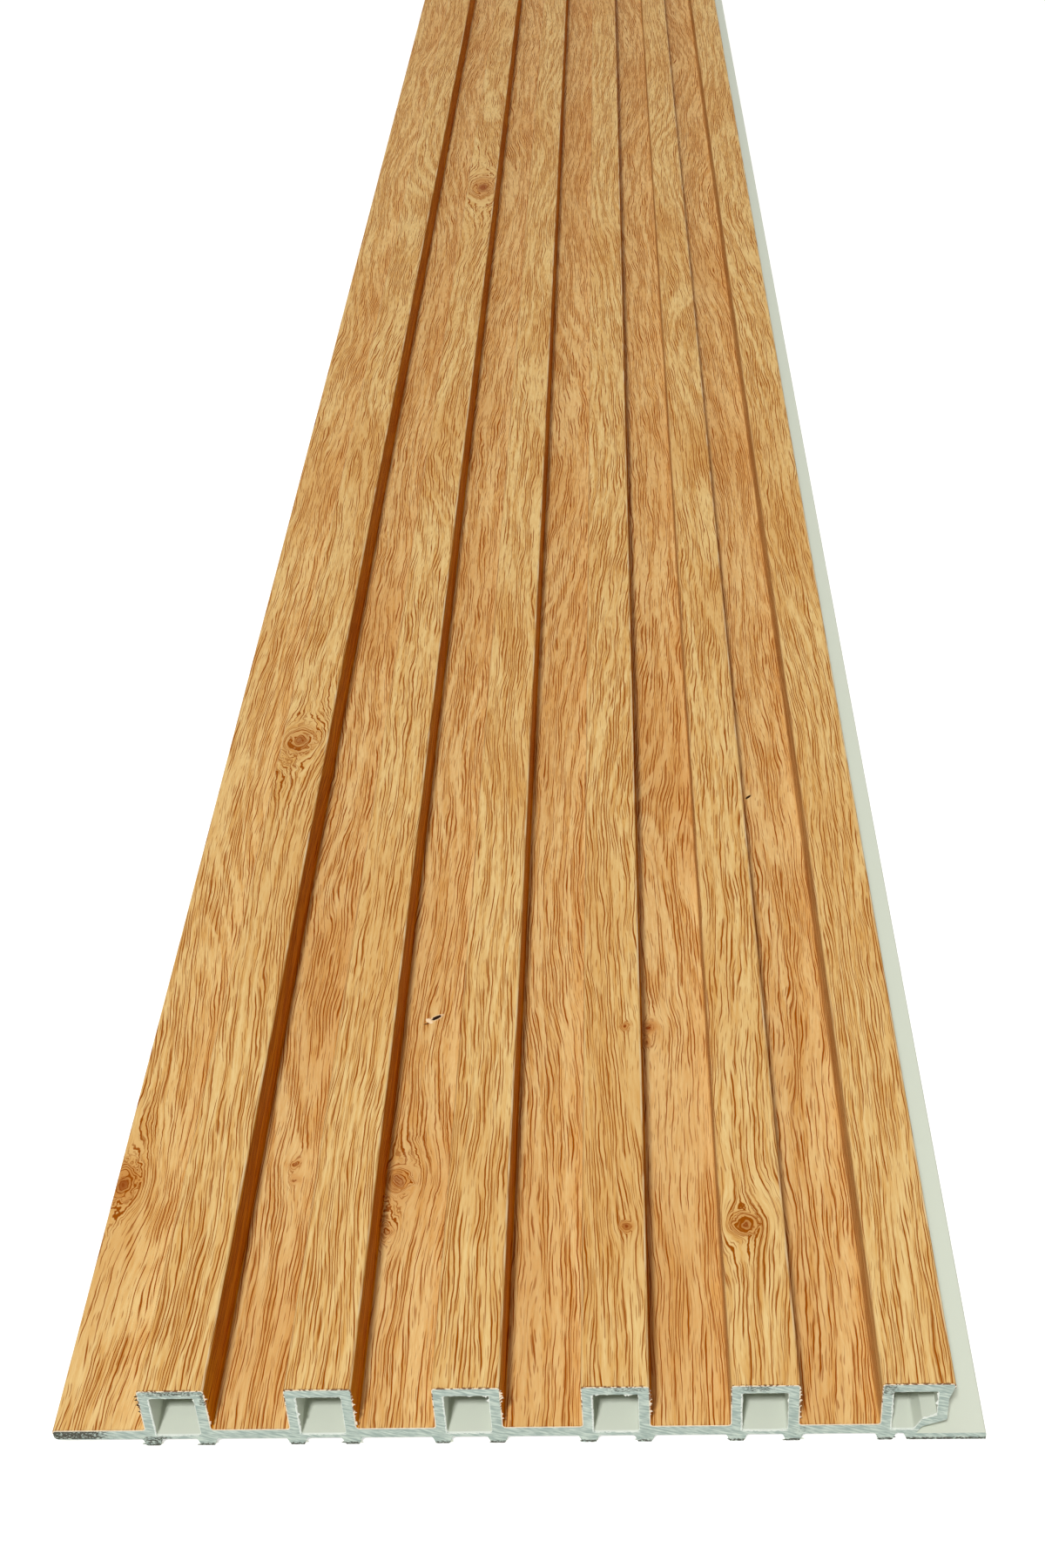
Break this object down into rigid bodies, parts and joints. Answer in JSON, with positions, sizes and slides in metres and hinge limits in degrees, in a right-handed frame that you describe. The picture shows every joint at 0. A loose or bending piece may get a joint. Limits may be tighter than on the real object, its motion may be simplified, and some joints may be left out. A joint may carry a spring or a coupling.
{
  "type": "fluted composite wall panel",
  "caption": "Long hollow fluted wall panel in white plastic with a wood-effect film on its face, a lap flange along one edge and a fixing tongue along the other.",
  "frame": {"origin": "on the floor under the feet, at the middle of the panel's length and width", "axes": "+X across the panel from the lap flange to the tongue, +Y along its length, +Z out of its face"},
  "size_m": [0.1782, 2.9, 0.016],
  "materials": {
    "profile": "extruded white PVC compound with a pale green-grey cast, matt where it is sawn",
    "decor_film": "laminated decor film printed as light oak, satin"
  },
  "bodies": {
    "root": {"profile": "profile", "decor_film": "decor_film"}
  },
  "joints": []
}
